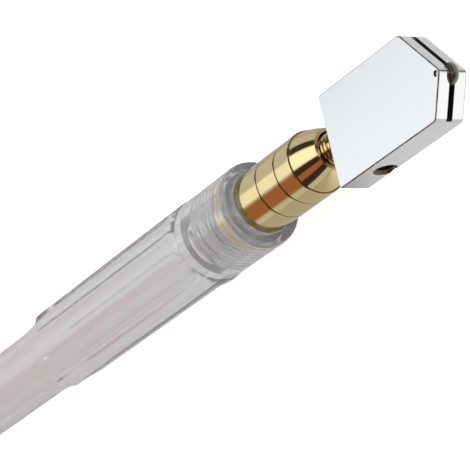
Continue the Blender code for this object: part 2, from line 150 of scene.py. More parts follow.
def combine(obj, other, operation="DIFFERENCE"):
    """Cuts another shape from this one, or joins it on, and clears the other away."""
    apply_modifier(obj, "BOOLEAN", operation=operation, solver="EXACT", object=other)
    bpy.data.objects.remove(other, do_unlink=True)
    return obj


SLIVER = 0.003


def close_up(obj):
    """Merges the slivers that a Boolean leaves where surfaces nearly meet, and fills what is still open."""
    pick(obj, "verts", lambda vert: True)
    ops.mesh.remove_doubles(threshold=SLIVER * MM)
    ops.mesh.dissolve_degenerate(threshold=SLIVER / 10 * MM)
    ops.mesh.select_all(action="DESELECT")
    ops.mesh.select_non_manifold(
        extend=False, use_multi_face=False, use_non_contiguous=False, use_verts=False
    )
    ops.mesh.fill_holes(sides=0)
    ops.mesh.select_all(action="SELECT")
    ops.mesh.normals_make_consistent(inside=False)
    ops.object.mode_set(mode="OBJECT")
    return obj


def smooth(obj, angle=32):
    """Smooth shading up to this crease angle, with normals that follow the large faces."""
    activate(obj)
    ops.object.shade_smooth_by_angle(angle=math.radians(angle))
    apply_modifier(obj, "WEIGHTED_NORMAL", keep_sharp=True, weight=60)
    return obj


# %% [markdown]
# ## A lathe
# Most pieces are round. A real one starts as bar in a lathe, and so does this one: the outline is drawn as a
# string of points, its corners are broken with a vertex bevel, as a file would, and a spin carries it round.

# %% The lathe
AXES = {"X": Vector((1, 0, 0)), "Y": Vector((0, 1, 0)), "Z": Vector((0, 0, 1))}
OUTWARD = {"X": Vector((0, 0, 1)), "Y": Vector((0, 0, 1)), "Z": Vector((1, 0, 0))}
MERGE = 1e-3


def lathe(name, outline, centre=None, axis="X", edge=0.05, steps=96, closed=True, rounds=2):
    """Turns an outline of (distance along the axis, radius) in millimetres into a solid or a ring."""
    centre = on_axis(0) if centre is None else centre
    along, out = AXES[axis], OUTWARD[axis]
    points = [centre + along * (s * MM) + out * (r * MM) for s, r in outline]
    if closed:
        points.append(points[0])
    deselect()
    ops.mesh.primitive_plane_add(size=MM, location=points[0])
    obj = settle(name)
    ops.object.mode_set(mode="EDIT")
    ops.mesh.select_mode(type="VERT")
    ops.mesh.select_all(action="SELECT")
    ops.mesh.merge(type="CENTER")
    for here, there in zip(points, points[1:]):
        ops.mesh.extrude_vertices_move(TRANSFORM_OT_translate={"value": there - here})
    if closed:
        ops.mesh.select_all(action="SELECT")
        ops.mesh.remove_doubles(threshold=MERGE * MM)

    def corner(vert):
        return (vert.co - centre).cross(along).length > MERGE * MM and len(vert.link_edges) == 2

    pick(obj, "verts", corner)
    if edge:
        ops.mesh.bevel(affect="VERTICES", offset=edge * MM, segments=rounds, clamp_overlap=True)
    ops.mesh.select_all(action="SELECT")
    ops.mesh.spin(steps=steps, angle=math.tau, center=centre, axis=along)
    ops.mesh.select_all(action="SELECT")
    ops.mesh.remove_doubles(threshold=MERGE * MM)
    ops.mesh.delete_loose()
    ops.mesh.select_all(action="SELECT")
    ops.mesh.normals_make_consistent(inside=False)
    ops.object.mode_set(mode="OBJECT")
    return obj


def bar(name, start, end, radius, axis="Z", centre=None, vertices=48):
    """A round bar between two distances along an axis, used as a drill."""
    centre = on_axis(0) if centre is None else centre
    turn = {"X": (0, math.pi / 2, 0), "Y": (math.pi / 2, 0, 0), "Z": (0, 0, 0)}[axis]
    middle = centre + AXES[axis] * ((start + end) / 2 * MM)
    deselect()
    ops.mesh.primitive_cylinder_add(
        vertices=vertices, radius=radius * MM, depth=(end - start) * MM, location=middle, rotation=turn
    )
    return settle(name)


# %% [markdown]
# ## A thread
# A thread is a ridge that climbs one pitch each turn. A small triangle is drawn beside the axis and the Screw
# modifier carries it up the helix. The result is joined on, as a rolled thread, or cut away, as a tap does.

# %% The thread ridge
THREAD_FLANK = 0.42


def seal_ends(coil):
    """Applies the place of a shape wound by the Screw modifier, and closes its two ends."""
    activate(coil)
    ops.object.transform_apply(location=True, rotation=True, scale=True)
    ops.object.mode_set(mode="EDIT")
    ops.mesh.select_all(action="DESELECT")
    ops.mesh.select_mode(type="EDGE")
    ops.mesh.select_non_manifold(extend=False)
    ops.mesh.fill()
    ops.mesh.select_all(action="SELECT")
    ops.mesh.normals_make_consistent(inside=False)
    ops.object.mode_set(mode="OBJECT")


def thread_ridge(name, start, end, root, crest, pitch, axis="X", centre=None, steps=48):
    """A helical ridge with a triangular section from its root radius to its crest radius, in millimetres."""
    centre = on_axis(0) if centre is None else centre
    along, out = AXES[axis], OUTWARD[axis]
    turns = round((end - start) / pitch)
    middle = centre + along * (start * MM) + out * ((root + crest) / 2 * MM)
    deselect()
    ops.mesh.primitive_circle_add(vertices=3, radius=MM, fill_type="NOTHING", location=middle)
    ridge = settle(name)
    inner, outer = centre + out * (root * MM), centre + out * (crest * MM)
    half = along * (THREAD_FLANK * pitch * MM)
    corners = (inner - half, inner + half, outer)
    for vert, corner in zip(ridge.data.vertices, corners):
        vert.co = corner + along * (start * MM) - centre
    ridge.location = centre
    apply_modifier(
        ridge, "SCREW", axis=axis, angle=math.tau, screw_offset=pitch * MM, iterations=turns,
        steps=steps, render_steps=steps, use_merge_vertices=False,
    )
    seal_ends(ridge)
    return ridge


# %% [markdown]
# ## Shader maths as plain expressions
# A wrapped socket knows how to add, subtract and multiply itself, so a pattern reads like a formula and each
# operator adds one Math node. Every other node comes from one method that takes a type, settings and inputs.

# %% Signals and finishes
class Signal:
    """One output socket, with arithmetic."""

    def __init__(self, finish, socket):
        self.finish, self.socket = finish, socket

    def math(self, operation, *values):
        return self.finish.node("ShaderNodeMath", {"operation": operation}, values)

    def __add__(self, other):
        return self.math("ADD", self, other)

    def __sub__(self, other):
        return self.math("SUBTRACT", self, other)

    def __rsub__(self, other):
        return self.math("SUBTRACT", other, self)

    def __mul__(self, other):
        return self.math("MULTIPLY", self, other)

    def __truediv__(self, other):
        return self.math("DIVIDE", self, other)

    __radd__, __rmul__ = __add__, __mul__

    def step(self, start, end, low=0.0, high=1.0):
        """Runs smoothly from low to high as this value goes from start to end."""
        if end < start:
            start, end, low, high = end, start, high, low
        settings = {"interpolation_type": "SMOOTHSTEP"}
        return self.finish.node("ShaderNodeMapRange", settings, (self, start, end, low, high))


class Finish:
    """The node tree of one finish."""

    def __init__(self, name, tree=None):
        if tree is None:
            self.material = bpy.data.materials.new(name)
            self.material.use_nodes = True
            tree = self.material.node_tree
            self.shader = tree.nodes["Principled BSDF"]
        self.tree = tree

    def node(self, kind, settings=None, inputs=(), output=0):
        made = self.tree.nodes.new(kind)
        for key, value in (settings or {}).items():
            setattr(made, key, value)
        for key, value in inputs.items() if isinstance(inputs, dict) else enumerate(inputs):
            if isinstance(value, Signal):
                self.tree.links.new(value.socket, made.inputs[key])
            else:
                made.inputs[key].default_value = value
        return Signal(self, made.outputs[output])

    def set(self, **values):
        """Sets or links the shader's sockets, named with _ for a space."""
        for key, value in values.items():
            socket = self.shader.inputs[key.replace("_", " ")]
            if isinstance(value, Signal):
                self.tree.links.new(value.socket, socket)
            else:
                is_colour = isinstance(value, tuple) and len(value) == 3
                socket.default_value = (*value, 1.0) if is_colour else value
        return self

    def place(self, scale=(1, 1, 1)):
        """Object coordinates measured from the head's rear face on the centre line, stretched by scale."""
        coordinates = self.node("ShaderNodeTexCoord", output="Object")
        start = on_axis(0)
        location = tuple(-s * c for s, c in zip(scale, start))
        return self.node(
            "ShaderNodeMapping", {"vector_type": "POINT"},
            {"Vector": coordinates, "Location": location, "Scale": scale},
        )

    def axes(self):
        split = self.node("ShaderNodeSeparateXYZ", inputs=(self.place(),)).socket.node
        return [Signal(self, split.outputs[i]) for i in range(3)]

    def noise(self, scale, detail=3.0, roughness=0.5, stretch=(1, 1, 1)):
        """Grain with this many cells per millimetre, stretched along some axes."""
        cells = tuple(s / MM for s in stretch)
        inputs = {"Vector": self.place(cells), "Scale": scale, "Detail": detail, "Roughness": roughness}
        return self.node("ShaderNodeTexNoise", inputs=inputs)

    def blend(self, share, first, second):
        """The colour between two colours at this share."""
        colours = [(*c, 1.0) if isinstance(c, tuple) else c for c in (first, second)]
        settings = {"data_type": "RGBA"}
        inputs = {0: share, 6: colours[0], 7: colours[1]}
        return self.node("ShaderNodeMix", settings, inputs, output=2)

    def bump(self, height, strength, depth):
        """A bumped normal whose height of 1 stands this many millimetres proud."""
        inputs = {"Strength": strength, "Distance": depth * MM, "Height": height}
        return self.node("ShaderNodeBump", inputs=inputs)


# %% [markdown]
# ## The camera
# The tool is looked at from in front of its wheel, a little to the right and from above, through a long lens.
# From there the handle runs down to the left and the wheel points up to the right. The camera is rolled by
# only a quarter of a degree.

# %% Camera
AIM = on_axis(-26.4, -1.178, -0.653)
VIEW_AZIMUTH = math.radians(-21.77)
VIEW_ELEVATION = math.radians(33.6)
VIEW_DISTANCE = 0.3355
CAMERA_LENS = 203.5
ROLL = math.radians(-0.25)

back = Vector((
    math.cos(VIEW_AZIMUTH) * math.cos(VIEW_ELEVATION),
    math.sin(VIEW_AZIMUTH) * math.cos(VIEW_ELEVATION),
    math.sin(VIEW_ELEVATION),
))
up = Vector((0, 0, 1)).cross(back).normalized()
right = up.cross(back)
deselect()
ops.object.camera_add(location=AIM + back * VIEW_DISTANCE)
camera = bpy.context.object
frame_turn = Matrix((right, up, back)).transposed() @ Matrix.Rotation(ROLL, 3, "Z")
camera.rotation_euler = frame_turn.to_euler()
camera.data.lens = CAMERA_LENS
camera.data.clip_start = 0.005
bpy.context.scene.camera = camera
print("camera at", [round(value, 4) for value in camera.location])

# %% [markdown]
# ## The room
# Polished metal has no look of its own: it shows the room. A jeweller's light table is the model here. A long
# softbox hangs over the tool a little to its left, dark flags border the box towards the front, a warm brown
# board stands to the right, and the rest of the room is plain pale grey. Light that has passed through clear
# plastic finds a pale room in place of the board. The room is drawn on the world by angle.

# %% Room
def degrees_between(angle, start, end, soft=3.0):
    """A soft-edged band that is 1 between two angles."""
    return angle.step(start - soft, start + soft) * angle.step(end + soft, end - soft)


world = bpy.data.worlds.new("light_table_room")
bpy.context.scene.world = world
world.use_nodes = True
room = Finish("room", world.node_tree)
direction = room.node("ShaderNodeTexCoord", output="Generated")
split = room.node("ShaderNodeSeparateXYZ", inputs=(direction,)).socket.node
ahead, left, high = (Signal(room, split.outputs[i]) for i in range(3))
around = high.math("ARCTAN2", high, left) * math.degrees(1)
to_front = ahead.step(-0.62, -0.5)
ROOM_GREY = (0.56, 0.57, 0.58)
SOFTBOX_WHITE = (1.0, 1.0, 1.0)
BROWN_BOARD = (0.34, 0.14, 0.075)
FLAG_BLACK = (0.03, 0.025, 0.02)
FLAG_SHARE, FRONT_GAIN = 0.97, 0.25
sky = room.blend(degrees_between(around, 104, 160, 7), ROOM_GREY, BROWN_BOARD)
flags = degrees_between(around, 31, 53, 2) + degrees_between(around, 102, 122, 2)
flags = flags + degrees_between(around, 141, 164, 2)
sky = room.blend(flags * to_front * FLAG_SHARE, sky, FLAG_BLACK)
softbox_band = degrees_between(around, 57, 98, 5)
sky = room.blend(softbox_band, sky, SOFTBOX_WHITE)
strength = 1.0 + degrees_between(around, 55, 103, 2) * to_front * FRONT_GAIN
through = room.node("ShaderNodeLightPath", output="Is Transmission Ray")
PALE_ROOM = (0.66, 0.66, 0.67)
sky = room.blend(through * (1 - softbox_band), sky, PALE_ROOM)
background = world.node_tree.nodes["Background"]
world.node_tree.links.new(sky.socket, background.inputs["Color"])
world.node_tree.links.new(strength.socket, background.inputs["Strength"])

# %% [markdown]
# ## The floor
# A plain pale sheet lies under the tool. It is seen as clean white, with a light contact shadow. The metal
# sees it as grey paper that glows by its own emission, with a painted pool of lamp light in front of the
# tool. The clear plastic sees a paler grey.

# %% Floor
deselect()
ops.mesh.primitive_plane_add(size=4.0, location=(0, 0, 0))
floor = settle("pale_floor")
paper = Finish("pale_paper")
floor.data.materials.append(paper.material)
forward = paper.axes()[0]
POOL_START, POOL_END = -13 * MM, 1 * MM
PAPER_SHADED, PAPER_LIT, PAPER_THROUGH = (0.46, 0.44, 0.42), (0.98, 0.98, 0.98), (0.72, 0.72, 0.725)
SHEET_GLOW = 0.82
# Painted light: the glow that the metal sees is brighter in a painted pool of lamp light in front of the tool.
painted_lamp_pool = forward.step(POOL_START, POOL_END)
seen = paper.node("ShaderNodeLightPath", output=0)
shade = paper.blend(painted_lamp_pool, PAPER_SHADED, PAPER_LIT)
through = paper.node("ShaderNodeLightPath", output="Is Transmission Ray")
shade = paper.blend(through, shade, PAPER_THROUGH)
glow = paper.node("ShaderNodeEmission", inputs={"Color": shade, "Strength": 1.0})
clean = paper.node("ShaderNodeEmission", inputs={"Color": (1.0, 1.0, 1.0, 1.0), "Strength": SHEET_GLOW})
matt = paper.node("ShaderNodeBsdfDiffuse", inputs={"Color": (0.9, 0.9, 0.9, 1.0)})
lit = paper.node("ShaderNodeAddShader", inputs=(clean, matt))
sheet = paper.node("ShaderNodeMixShader", inputs=(seen, glow, lit))
output = next(n for n in paper.tree.nodes if n.type == "OUTPUT_MATERIAL")
paper.tree.links.new(sheet.socket, output.inputs["Surface"])

# %% Lamps
def softbox(name, place, aim, size, watts):
    deselect()
    ops.object.light_add(type="AREA", location=place)
    lamp = bpy.context.object
    lamp.name = name
    lamp.data.shape = "RECTANGLE"
    lamp.data.size, lamp.data.size_y = size
    lamp.data.energy = watts
    lamp.rotation_euler = (Vector(place) - Vector(aim)).to_track_quat("Z", "Y").to_euler()
    lamp.visible_glossy = lamp.visible_transmission = False
    return lamp


softbox("overhead_softbox", (0.1, 0.12, 0.9), (0, 0, 0), (0.9, 0.5), 4.0)
bpy.context.scene.view_settings.view_transform = "Standard"

# %% [markdown]
# ## Mirror chrome
# Chrome plate on a polished face. It is almost a perfect mirror, so what it needs is what polishing leaves: a
# very slight orange peel, fine random wipe marks, and a blue cast. The wipe marks go into colour and
# roughness, and the peel into bump. The other metals here are duller, each with the marks of its own tool.

# %% Chrome and steel
def mirror_chrome(name, dark, light):
    finish = Finish(name)
    wipes = finish.noise(0.9, 4, stretch=(1, 9, 1)) * finish.noise(1.4, 3, stretch=(8, 1, 1))
    peel = finish.noise(0.35, 2)
    tint = finish.blend(wipes, dark, light)
    return finish.set(
        Base_Color=tint, Metallic=1.0, Roughness=wipes.step(0.15, 0.4, 0.03, 0.07),
        Normal=finish.bump(peel, 0.15, 0.004),
    ).material


def ground_chrome():
    """The narrow faces are ground before plating, so lines run along them under the chrome."""
    finish = Finish("ground_chrome")
    lines = finish.noise(2.2, 4, 0.65, stretch=(0.35, 0.35, 6))
    pits = finish.noise(6.0, 3, 0.6)
    height = lines * 0.6 + pits * 0.4
    tint = finish.blend(height.step(0.35, 0.65), (0.5, 0.503, 0.51), (0.64, 0.643, 0.65))
    return finish.set(
        Base_Color=tint, Metallic=1.0, Roughness=height.step(0.3, 0.7, 0.42, 0.28),
        Normal=finish.bump(height, 0.35, 0.02),
    ).material


def edge_chrome():
    """The fine bevels: painted reflection, a dark grey colour standing in for the dark that the bevels
    reflect, mottled in colour and roughness.
    """
    finish = Finish("edge_chrome")
    painted_dark_mottle = finish.noise(1.2, 4, 0.6)
    # Painted reflection: the dark grey tint stands in for what the bevels reflect.
    tint = finish.blend(painted_dark_mottle.step(0.35, 0.65), (0.12, 0.095, 0.085), (0.34, 0.3, 0.28))
    return finish.set(
        Base_Color=tint, Metallic=1.0, Roughness=painted_dark_mottle.step(0.3, 0.7, 0.2, 0.4),
        Normal=finish.bump(painted_dark_mottle, 0.2, 0.01),
    ).material


def bare_bore():
    """Drilled and sawn walls inside the head, with cutter marks: painted shade, a near black colour for the
    shade inside the cut and the holes.
    """
    finish = Finish("oily_bore")
    marks = finish.noise(3.0, 4, 0.6, stretch=(1, 4, 1))
    # Painted shade: the near black tint stands in for the shade inside the recesses.
    tint = finish.blend(marks, (0.04, 0.033, 0.028), (0.2, 0.17, 0.14))
    return finish.set(
        Base_Color=tint, Metallic=0.8, Roughness=marks.step(0.3, 0.7, 0.3, 0.55),
        Normal=finish.bump(marks, 0.5, 0.03),
    ).material


# Painted shade: the dark brown laid in grooves and steps where shade falls, and the roughness added with it.
GROOVE_SHADE_BROWN, GROOVE_SHADE_ROUGHNESS = (0.16, 0.09, 0.035), 0.35


def turned_metal(name, dark, light, rough=(0.12, 0.25), rings=(9, 0.3, 0.3), depth=0.004, grooves=()):
    """Turned metal: fine rings round the axis, soft dull patches, and painted shade, a dark brown colour in
    the grooves.
    """
    finish = Finish(name)
    tool_marks = finish.noise(1.6, 3, 0.6, stretch=rings)
    dulling = finish.noise(0.25, 3, 0.6)
    mark = tool_marks * 0.5 + dulling * 0.5
    colour, roughness = finish.blend(mark.step(0.35, 0.65), dark, light), mark.step(0.35, 0.65, *rough)
    if grooves:
        along, across, height = finish.axes()
        squared = across * across + height * height
        reach = squared.math("SQRT", squared)
    for front, rear, mouth_radius in grooves:
        stations = along.step((rear - 0.02) * MM, rear * MM) * along.step((front + 0.02) * MM, front * MM)
        painted_groove_shade = stations * reach.step(mouth_radius * MM, (mouth_radius - 0.04) * MM)
        colour = finish.blend(painted_groove_shade, colour, GROOVE_SHADE_BROWN)
        roughness = roughness + painted_groove_shade * GROOVE_SHADE_ROUGHNESS
    return finish.set(
        Base_Color=colour, Metallic=1.0, Roughness=roughness, Normal=finish.bump(tool_marks, 0.3, depth),
    ).material


chrome = mirror_chrome("mirror_chrome", (0.855, 0.89, 0.915), (0.89, 0.915, 0.935))
# Painted light: the long front face gets a brighter copy of the mirror chrome, for the light it catches.
front_chrome_painted_light = mirror_chrome("bright_chrome", (0.95, 0.955, 0.96), (0.975, 0.975, 0.975))
ground = ground_chrome()
edges = edge_chrome()
bore = bare_bore()
steel = turned_metal("bright_steel", (0.5, 0.49, 0.48), (0.66, 0.65, 0.64), (0.16, 0.3))
carbide = turned_metal("ground_carbide", (0.12, 0.105, 0.095), (0.3, 0.27, 0.24), (0.25, 0.42), (0.3, 0.3, 8))
blackened = turned_metal("blackened_steel", (0.16, 0.15, 0.14), (0.32, 0.3, 0.28), (0.25, 0.4), (0.5, 5, 0.5))
# The brass's grooves are the nose's two grooves and the small step behind the dome; their dark lines are
# painted shade.
brass = turned_metal(
    "polished_brass", (0.84, 0.68, 0.35), (0.9, 0.755, 0.42), (0.04, 0.1), (7, 0.2, 0.2), 0.0015,
    grooves=((-8.0, -14.0, 4.2), (-5.6, -5.74, 4.2)),
)
spring_brass = turned_metal("spring_wire", (0.72, 0.54, 0.24), (0.86, 0.68, 0.36), (0.08, 0.18), (2, 2, 2))

# %% [markdown]
# ## Plastics, rubber and cotton
# The handle is clear acrylic. It passes most of the light, and a small share is left to a milky grey body, as
# moulding and handling leave it. A painted pink cast grows towards the red filler cap: painted light for the
# cap's colour, which the wall carries forward like a light pipe, and the same painted pink lies along the
# flanks of the grip's raised lands.

# %% Plastics
LAND_COUNT, LAND_ANGLE, LAND_HALF, LAND_FLANK, LAND_COLUMNS = 5, 99.0, 12.75, 9.0, 6


def clear_acrylic():
    finish = Finish("clear_acrylic")
    along, across, height = finish.axes()
    flow = finish.noise(0.12, 3, 0.55, stretch=(0.3, 1, 1))
    # Painted light: a pink cast growing towards the red cap, for the cap's colour carried along the wall.
    cast = (along / MM).step(-52, -98) * (0.35 + 0.65 * flow)
    tint = finish.blend(cast, (0.93, 0.935, 0.94), (0.94, 0.865, 0.87))
    turned = height.math("ARCTAN2", height, across) * math.degrees(1) - LAND_ANGLE
    from_land = turned.math("PINGPONG", turned, 180 / LAND_COUNT)
    # Painted light: the same pink laid along the flanks of the raised lands.
    flank = from_land.step(LAND_HALF, LAND_HALF + 1.5) * from_land.step(LAND_HALF + LAND_FLANK, LAND_HALF + 3)
    flank = flank * (along / MM).step(-33, -44) * (along / MM).step(-74, -68)
    tint = finish.blend(flank * 0.5, tint, (0.93, 0.62, 0.66))
    return finish.set(
        Base_Color=tint, Roughness=flow.step(0.3, 0.7, 0.04, 0.1), IOR=1.49, Transmission_Weight=0.87,
        Normal=finish.bump(flow, 0.2, 0.02),
    ).material


def moulded(name, dark, light, rough, grain, depth=0.01, **more):
    """A moulded or woven material with grain of this many cells per millimetre."""
    finish = Finish(name)
    cells = finish.noise(grain, 4, 0.6)
    clouds = finish.noise(0.15, 2)
    mark = cells * 0.5 + clouds * 0.5
    return finish.set(
        Base_Color=finish.blend(mark.step(0.3, 0.7), dark, light), Roughness=mark.step(0.3, 0.7, *rough),
        Normal=finish.bump(cells, 0.4, depth), **more,
    ).material


acrylic = clear_acrylic()
red_cap = moulded("red_cap_plastic", (0.5, 0.03, 0.03), (0.68, 0.06, 0.055), (0.2, 0.34), 1.2,
                  Subsurface_Weight=0.25, Subsurface_Scale=0.001)
seat_white = moulded("white_plastic", (0.8, 0.79, 0.75), (0.9, 0.89, 0.86), (0.35, 0.5), 2.0)
silicone = moulded("clear_silicone", (0.78, 0.78, 0.79), (0.9, 0.9, 0.91), (0.3, 0.45), 1.5,
                   Transmission_Weight=0.7, IOR=1.41)
rubber = moulded("black_rubber", (0.02, 0.02, 0.02), (0.05, 0.05, 0.048), (0.55, 0.8), 3.0)
cotton = moulded("cotton_yarn", (0.72, 0.68, 0.58), (0.92, 0.9, 0.83), (0.85, 0.98), 6.0, 0.04)


def dress(obj, body, slot, material, *nodes):
    """Gives a finished piece its material and its body, and hides the CAD nodes it stands for. The slot is not
    used.
    """
    if material is not None:
        obj.data.materials.clear()
        obj.data.materials.append(material)
    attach(obj, body)
    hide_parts(*nodes)
    print(f"{obj.name}: {len(obj.data.polygons)} faces on {body}")
    return obj

# %% [markdown]
# ## The head
# The head is a five-sided plate. It is cut as in the workshop: a block, two slanting saw cuts that leave the
# point just off the centre line, rounded corners, then a fine bevel round both broad faces.

# %% Head blank
HEAD_LONG_SIDE, HEAD_SHORT_SIDE = 19.64, 16.95
APEX = (22.45, -0.92)
CORNER_RADIUS, EDGE_BEVEL = 0.45, 0.14
head_low, head_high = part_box("head_body")
head_size = head_high - head_low
half_width, half_thick = head_size.y / 2 / MM, head_size.z / 2 / MM


def slanting_cut(obj, start, end):
    """Saws off all that lies outside the line from start to end, seen from above."""
    pick(obj, "faces", lambda face: True)
    a, b = on_axis(*start), on_axis(*end)
    outward = (b - a).cross(Vector((0, 0, 1))).normalized()
    ops.mesh.bisect(plane_co=a, plane_no=outward, use_fill=True, clear_outer=True)
    ops.object.mode_set(mode="OBJECT")


def borders_broad_face(edge):
    """Whether a broad face lies on one side of this edge and a narrow one on the other."""
    return sorted(abs(face.normal.z) > 0.9 for face in edge.link_faces) == [False, True]


blank_length = APEX[0] + 1
deselect()
ops.mesh.primitive_cube_add(
    size=1, location=on_axis(blank_length / 2), scale=(blank_length * MM, head_size.y, head_size.z)
)
head = settle("head_plate")
slanting_cut(head, (HEAD_LONG_SIDE, -half_width), APEX)
slanting_cut(head, APEX, (HEAD_SHORT_SIDE, half_width))
pick(head, "edges", lambda e: abs((e.verts[0].co - e.verts[1].co).z) > 3 * MM)
ops.mesh.bevel(affect="EDGES", offset=CORNER_RADIUS * MM, segments=5)
pick(head, "edges", borders_broad_face)
ops.mesh.bevel(affect="EDGES", offset=EDGE_BEVEL * MM, segments=3)
ops.object.mode_set(mode="OBJECT")
print("head blank:", [round(v / MM, 2) for v in head.dimensions], "mm")

# %% [markdown]
# ## Slot, axle hole and stem socket
# A thin saw cut through the pointed end takes the wheel, and small holes take its axle, the stem and the oil.

# %% Saw and drill the head
SLOT_WIDTH = 0.8
SLOT_FLOOR = ((17.1, half_width - 0.35), (17.3, 0.0), (HEAD_LONG_SIDE - 0.25, 0.35 - half_width))
WHEEL_CENTRE = on_axis(21.7, -1.06)
SCREW_CENTRE = on_axis(5.85, 0, -0.65)
blade_start, blade_end = 15.0, 25.0
deselect()
middle = on_axis((blade_start + blade_end) / 2)
ops.mesh.primitive_cube_add(
    size=1, location=middle, scale=((blade_end - blade_start) * MM, 14 * MM, SLOT_WIDTH * MM)
)
blade = settle("saw_blade")
slanting_cut(blade, SLOT_FLOOR[0], SLOT_FLOOR[1])
slanting_cut(blade, SLOT_FLOOR[1], SLOT_FLOOR[2])
combine(head, blade)
combine(head, bar("axle_drill", -4, 4, 0.38, "Z", WHEEL_CENTRE, 32))
combine(head, bar("stem_drill", -1, 7.5, 1.5, "X"))
combine(head, bar("oil_drill", 7, 17.8, 0.6, "X", None, 24))

# %% [markdown]
# ## The tapped hole
# The set screw's hole is drilled from the head's right side, opened out at its mouth, and tapped. The tap is
# the thread ridge, cut away from the wall so that its turns stay as grooves.

# %% Tap the hole
THREAD_PITCH = 0.5
combine(head, bar("screw_drill", -half_width - 1, 0, 1.12, "Y", SCREW_CENTRE))
deselect()
ops.mesh.primitive_cone_add(
    vertices=48, radius1=2.15 * MM, radius2=1.12 * MM, depth=1.0 * MM,
    location=SCREW_CENTRE + Vector((0, (-half_width - 0.1) * MM, 0)), rotation=(-math.pi / 2, 0, 0),
)
combine(head, settle("mouth_countersink"))
combine(head, thread_ridge("tap", -6.6, -1.1, 1.0, 1.27, THREAD_PITCH, "Y", SCREW_CENTRE))

# %% [markdown]
# The broad faces and the long front face are polished to a mirror; the front face takes a brighter copy of the
# chrome, which is painted light. The other narrow faces keep their grinding lines, the fine bevels are painted
# dark as a painted reflection, and every wall inside the saw cut and the holes is painted near black as
# painted shade.

# %% Finish the head
for finish in (chrome, ground, bore, edges, front_chrome_painted_light):
    head.data.materials.append(finish)
front_face = Vector((APEX[1] + half_width, HEAD_LONG_SIDE - APEX[0], 0)).normalized()
outline_faces = [
    (on_axis(HEAD_LONG_SIDE, -half_width), front_face),
    (on_axis(*APEX), Vector((half_width - APEX[1], APEX[0] - HEAD_SHORT_SIDE, 0)).normalized()),
    (on_axis(0, half_width), Vector((0, 1, 0))),
    (on_axis(0, -half_width), Vector((0, -1, 0))),
    (on_axis(0), Vector((-1, 0, 0))),
    (on_axis(0, 0, half_thick), Vector((0, 0, 1))),
    (on_axis(0, 0, -half_thick), Vector((0, 0, -1))),
]
near_surface = 0.12 * MM
for face in head.data.polygons:
    outside = max((face.center - point).dot(normal) for point, normal in outline_faces)
    if outside < -near_surface:
        face.material_index = 2
    elif 0.15 < abs(face.normal.z) < 0.97:
        face.material_index = 3
    elif abs(face.normal.z) > 0.5:
        face.material_index = 0
    # The front face takes the painted-light copy of the chrome.
    elif face.normal.dot(front_face) > 0.97:
        face.material_index = 4
    else:
        face.material_index = 1
smooth(head, 25)
dress(head, "head", "chrome_plate", None, "head_body")

# %% [markdown]
# ## Wheel, axle and set screw
# The wheel is a carbide disc with its rim ground to a blunt edge from both sides. Its axle is a straight pin.
# The set screw is a threaded rod with a hexagon socket in its face and a dog point that reaches into the
# stem's groove.

# %% Wheel
WHEEL_RADIUS, WHEEL_HALF, WHEEL_BORE = 1.4, 0.35, 0.41
WHEEL_LAND, WHEEL_RECESS = WHEEL_RADIUS - 0.15, WHEEL_HALF - 0.03
wheel = lathe("scoring_wheel", [
    (WHEEL_HALF, WHEEL_BORE), (WHEEL_HALF, 0.75), (WHEEL_RECESS, 0.8), (WHEEL_RECESS, 1.1),
    (WHEEL_HALF, 1.15), (WHEEL_HALF, WHEEL_LAND), (0, WHEEL_RADIUS), (-WHEEL_HALF, WHEEL_LAND),
    (-WHEEL_HALF, 1.15), (-WHEEL_RECESS, 1.1), (-WHEEL_RECESS, 0.8), (-WHEEL_HALF, 0.75),
    (-WHEEL_HALF, WHEEL_BORE),
], WHEEL_CENTRE, "Z", edge=0.008, steps=128)
dress(smooth(wheel, 20), "wheel", "tungsten_carbide", carbide, "cutting_wheel")

axle = lathe("axle_pin", [
    (1.85, 0), (1.85, 0.22), (1.78, 0.35), (-1.78, 0.35), (-1.85, 0.22), (-1.85, 0),
], WHEEL_CENTRE, "Z", edge=0.02, steps=48, closed=False)
dress(smooth(axle), "head", "bright_steel", steel, "wheel_axle")

# %% Set screw
screw = lathe("socket_set_screw", [
    (-4.7, 0), (-4.7, 0.9), (-4.58, 1.04), (-2.1, 1.04), (-1.62, 0.45), (-1.22, 0.45), (-1.22, 0),
], SCREW_CENTRE, "Y", edge=0.03, steps=64, closed=False)
combine(screw, thread_ridge("die", -4.95, -1.95, 1.2, 0.92, THREAD_PITCH, "Y", SCREW_CENTRE))
combine(screw, bar("hexagon_broach", -5.5, -3.6, 0.45, "Y", SCREW_CENTRE, 6))
dress(smooth(close_up(screw), 30), "head", "bright_steel", blackened, "head_set_screw")

# %% [markdown]
# ## The stem and its spring
# The stem is a thin brass tube that carries the head. It floats on a coil spring, so that the wheel follows
# the glass. The spring is round wire: a circle is carried up a helix, and its two cut ends are closed.

# %% Stem
CLIP_FRONT, CLIP_REAR = -12.1, -12.75
stem = lathe("stem_tube", [
    (7.2, 0.6), (7.2, 1.3), (7.1, 1.4), (6.5, 1.4), (6.4, 1.12), (5.3, 1.12), (5.2, 1.4), (-6.6, 1.4),
    (-6.7, 1.5), (CLIP_FRONT, 1.5), (CLIP_FRONT, 1.1), (CLIP_REAR, 1.1), (CLIP_REAR, 1.5), (-14.25, 1.5),
    (-14.55, 0.85),
    (-16.6, 0.85), (-16.6, 0), (-14.35, 0), (-13.95, 0.6),
], edge=0.03)
combine(stem, bar("cross_drill", -3, 3, 0.35, "Y", on_axis(CLIP_REAR - 0.8), 24))
dress(smooth(stem), "stem", "polished_brass", brass, "stem")


